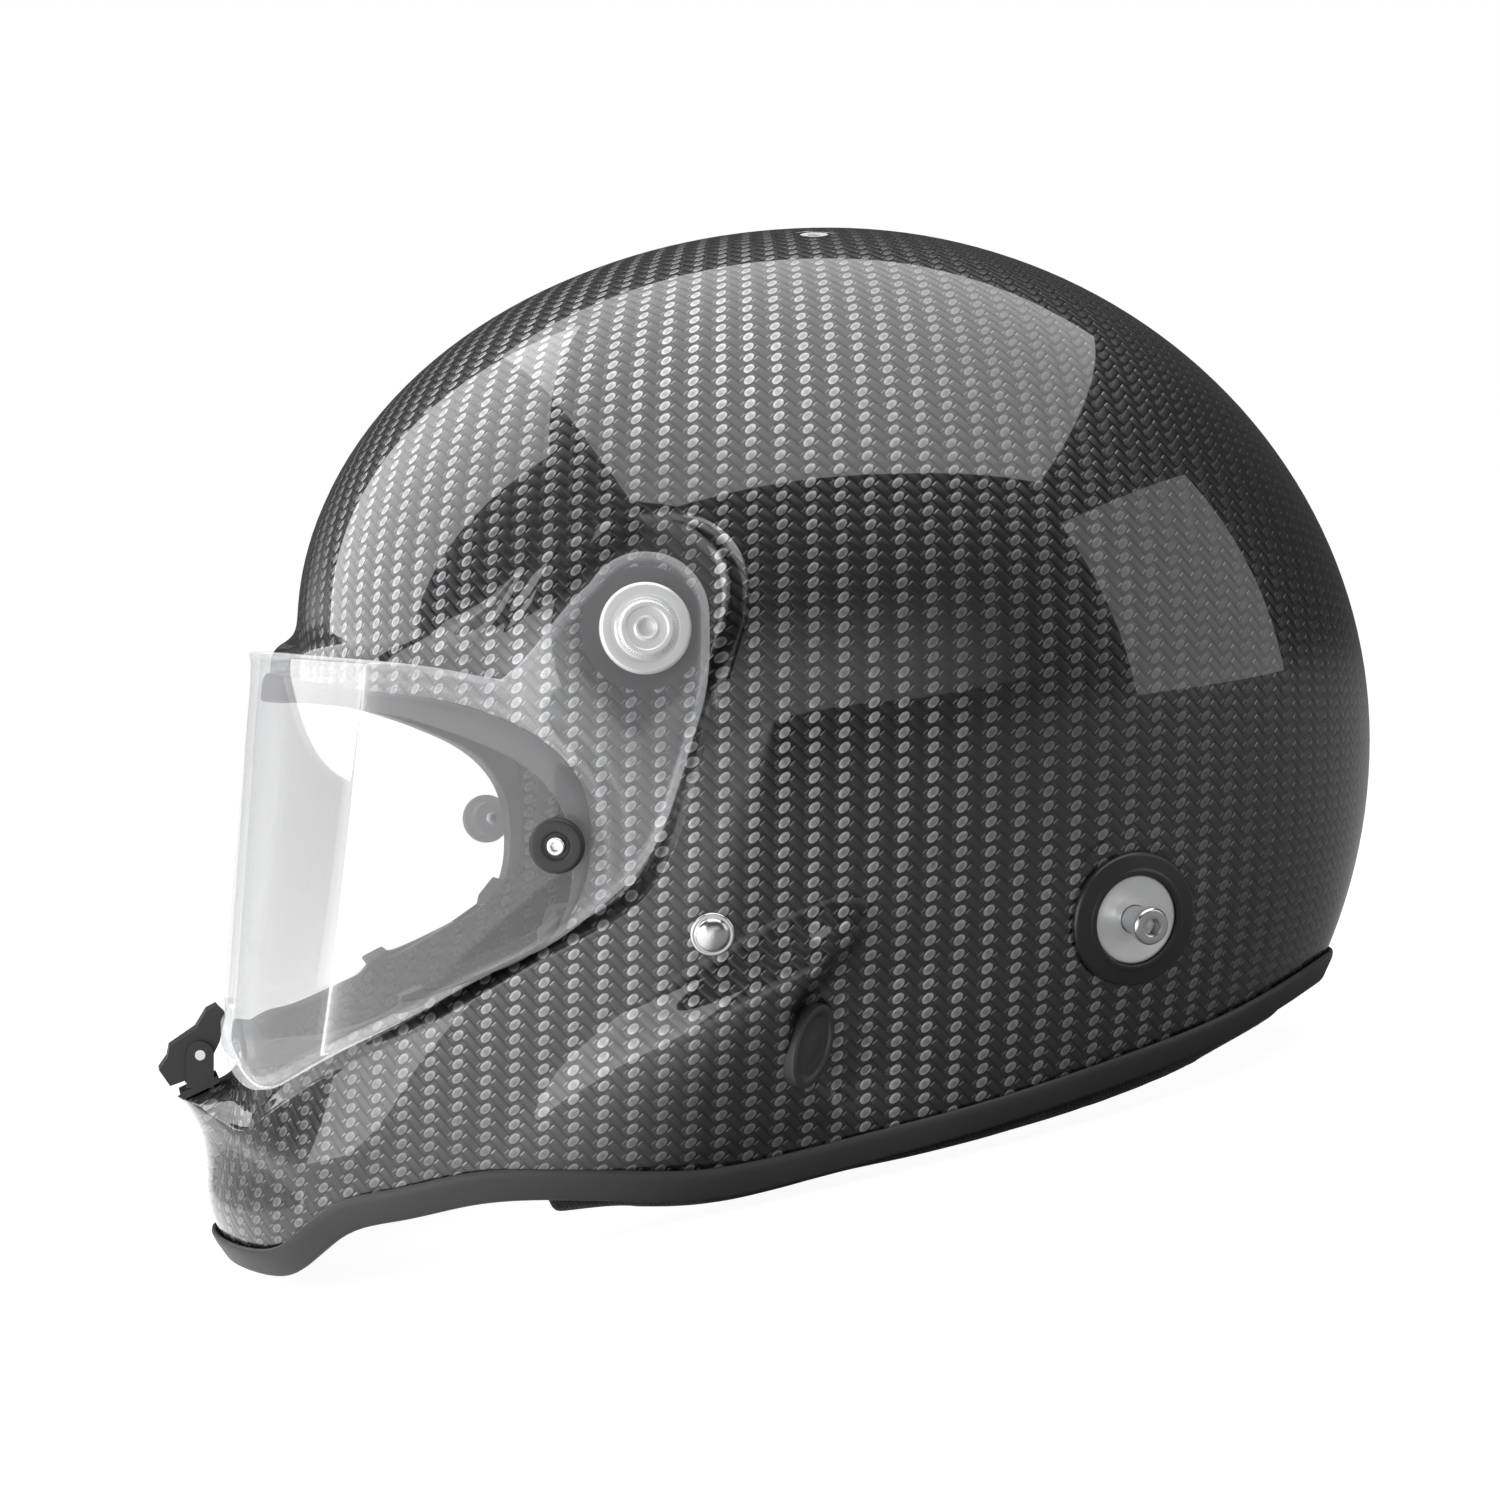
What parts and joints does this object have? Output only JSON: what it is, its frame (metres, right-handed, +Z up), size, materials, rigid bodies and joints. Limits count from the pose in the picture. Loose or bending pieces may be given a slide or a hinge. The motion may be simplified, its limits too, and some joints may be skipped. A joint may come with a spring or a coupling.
{
  "type": "auto racing helmet",
  "caption": "Full-face carbon racing helmet with a hinged clear visor, chin latch, restraint posts, foam liner, pads and double-ring chin strap.",
  "frame": {"origin": "on the floor below the centre of the helmet's box, on its mid-plane", "axes": "+X to the rear of the helmet, +Y to the wearer's right, +Z up as the helmet stands"},
  "size_m": [0.3762, 0.25, 0.2698],
  "materials": {
    "carbon_shell": "woven carbon laminate under a clear gloss coat",
    "clear_visor": "clear hard-coated sheet",
    "black_rubber": "satin moulded rubber",
    "black_fabric": "brushed flame-resistant knit",
    "black_webbing": "woven webbing",
    "grey_foam": "moulded bead foam",
    "satin_aluminium": "turned and bead-blasted",
    "black_anodised": "black anodised",
    "black_plastic": "moulded satin nylon",
    "bright_steel": "plated",
    "dark_steel": "black oxide"
  },
  "bodies": {
    "helmet": {"outer_shell": "carbon_shell", "shell_edge_trim": "black_rubber", "eyeport_gasket": "black_rubber", "impact_liner": "grey_foam", "crown_pad": "black_fabric", "brow_pad": "black_fabric", "nape_pad": "black_fabric", "chin_foam": "grey_foam", "neck_roll": "black_fabric", "latch_pin": "bright_steel", "latch_base": "black_plastic", "pivot_insert_left": "dark_steel", "pivot_insert_right": "dark_steel", "pivot_washer_left": "black_plastic", "pivot_washer_right": "black_plastic", "pivot_bush_left": "black_plastic", "pivot_bush_right": "black_plastic", "pivot_flange_left": "satin_aluminium", "pivot_flange_right": "satin_aluminium", "pivot_screw_left": "satin_aluminium", "pivot_screw_right": "satin_aluminium", "anchor_ring_left": "black_anodised", "anchor_ring_right": "black_anodised", "anchor_dish_left": "satin_aluminium", "anchor_dish_right": "satin_aluminium", "anchor_post_left": "bright_steel", "anchor_post_right": "bright_steel", "anchor_nut_left": "bright_steel", "anchor_nut_right": "bright_steel", "strap_rivet_left": "bright_steel", "strap_rivet_right": "bright_steel", "port_plug_left": "black_rubber", "port_plug_right": "black_rubber", "peak_insert_left": "satin_aluminium", "peak_insert_right": "satin_aluminium", "side_pad_left": "black_fabric", "side_pad_right": "black_fabric", "side_liner_left": "grey_foam", "side_liner_right": "grey_foam", "cheek_pad_left": "black_fabric", "cheek_pad_right": "black_fabric", "chin_strap_left": "black_webbing", "chin_strap_right": "black_webbing", "strap_ring_left": "bright_steel", "strap_ring_right": "bright_steel"},
    "visor": {"visor_shield": "clear_visor", "tear_off_post_left": "black_plastic", "tear_off_post_right": "black_plastic", "tear_off_screw_left": "bright_steel", "tear_off_screw_right": "bright_steel"},
    "latch": {"latch_lever": "black_plastic"}
  },
  "joints": [
    {"name": "visor_hinge", "type": "hinge", "parent": "helmet", "child": "visor", "pos_m": [-0.03261, 0, 0.16317], "axis": [0, 1, 0], "range_deg": [0, 50]},
    {"name": "latch_hinge", "type": "hinge", "parent": "helmet", "child": "latch", "pos_m": [-0.17549, 0, 0.06904], "axis": [0, 1, 0], "range_deg": [-15, 0]}
  ]
}
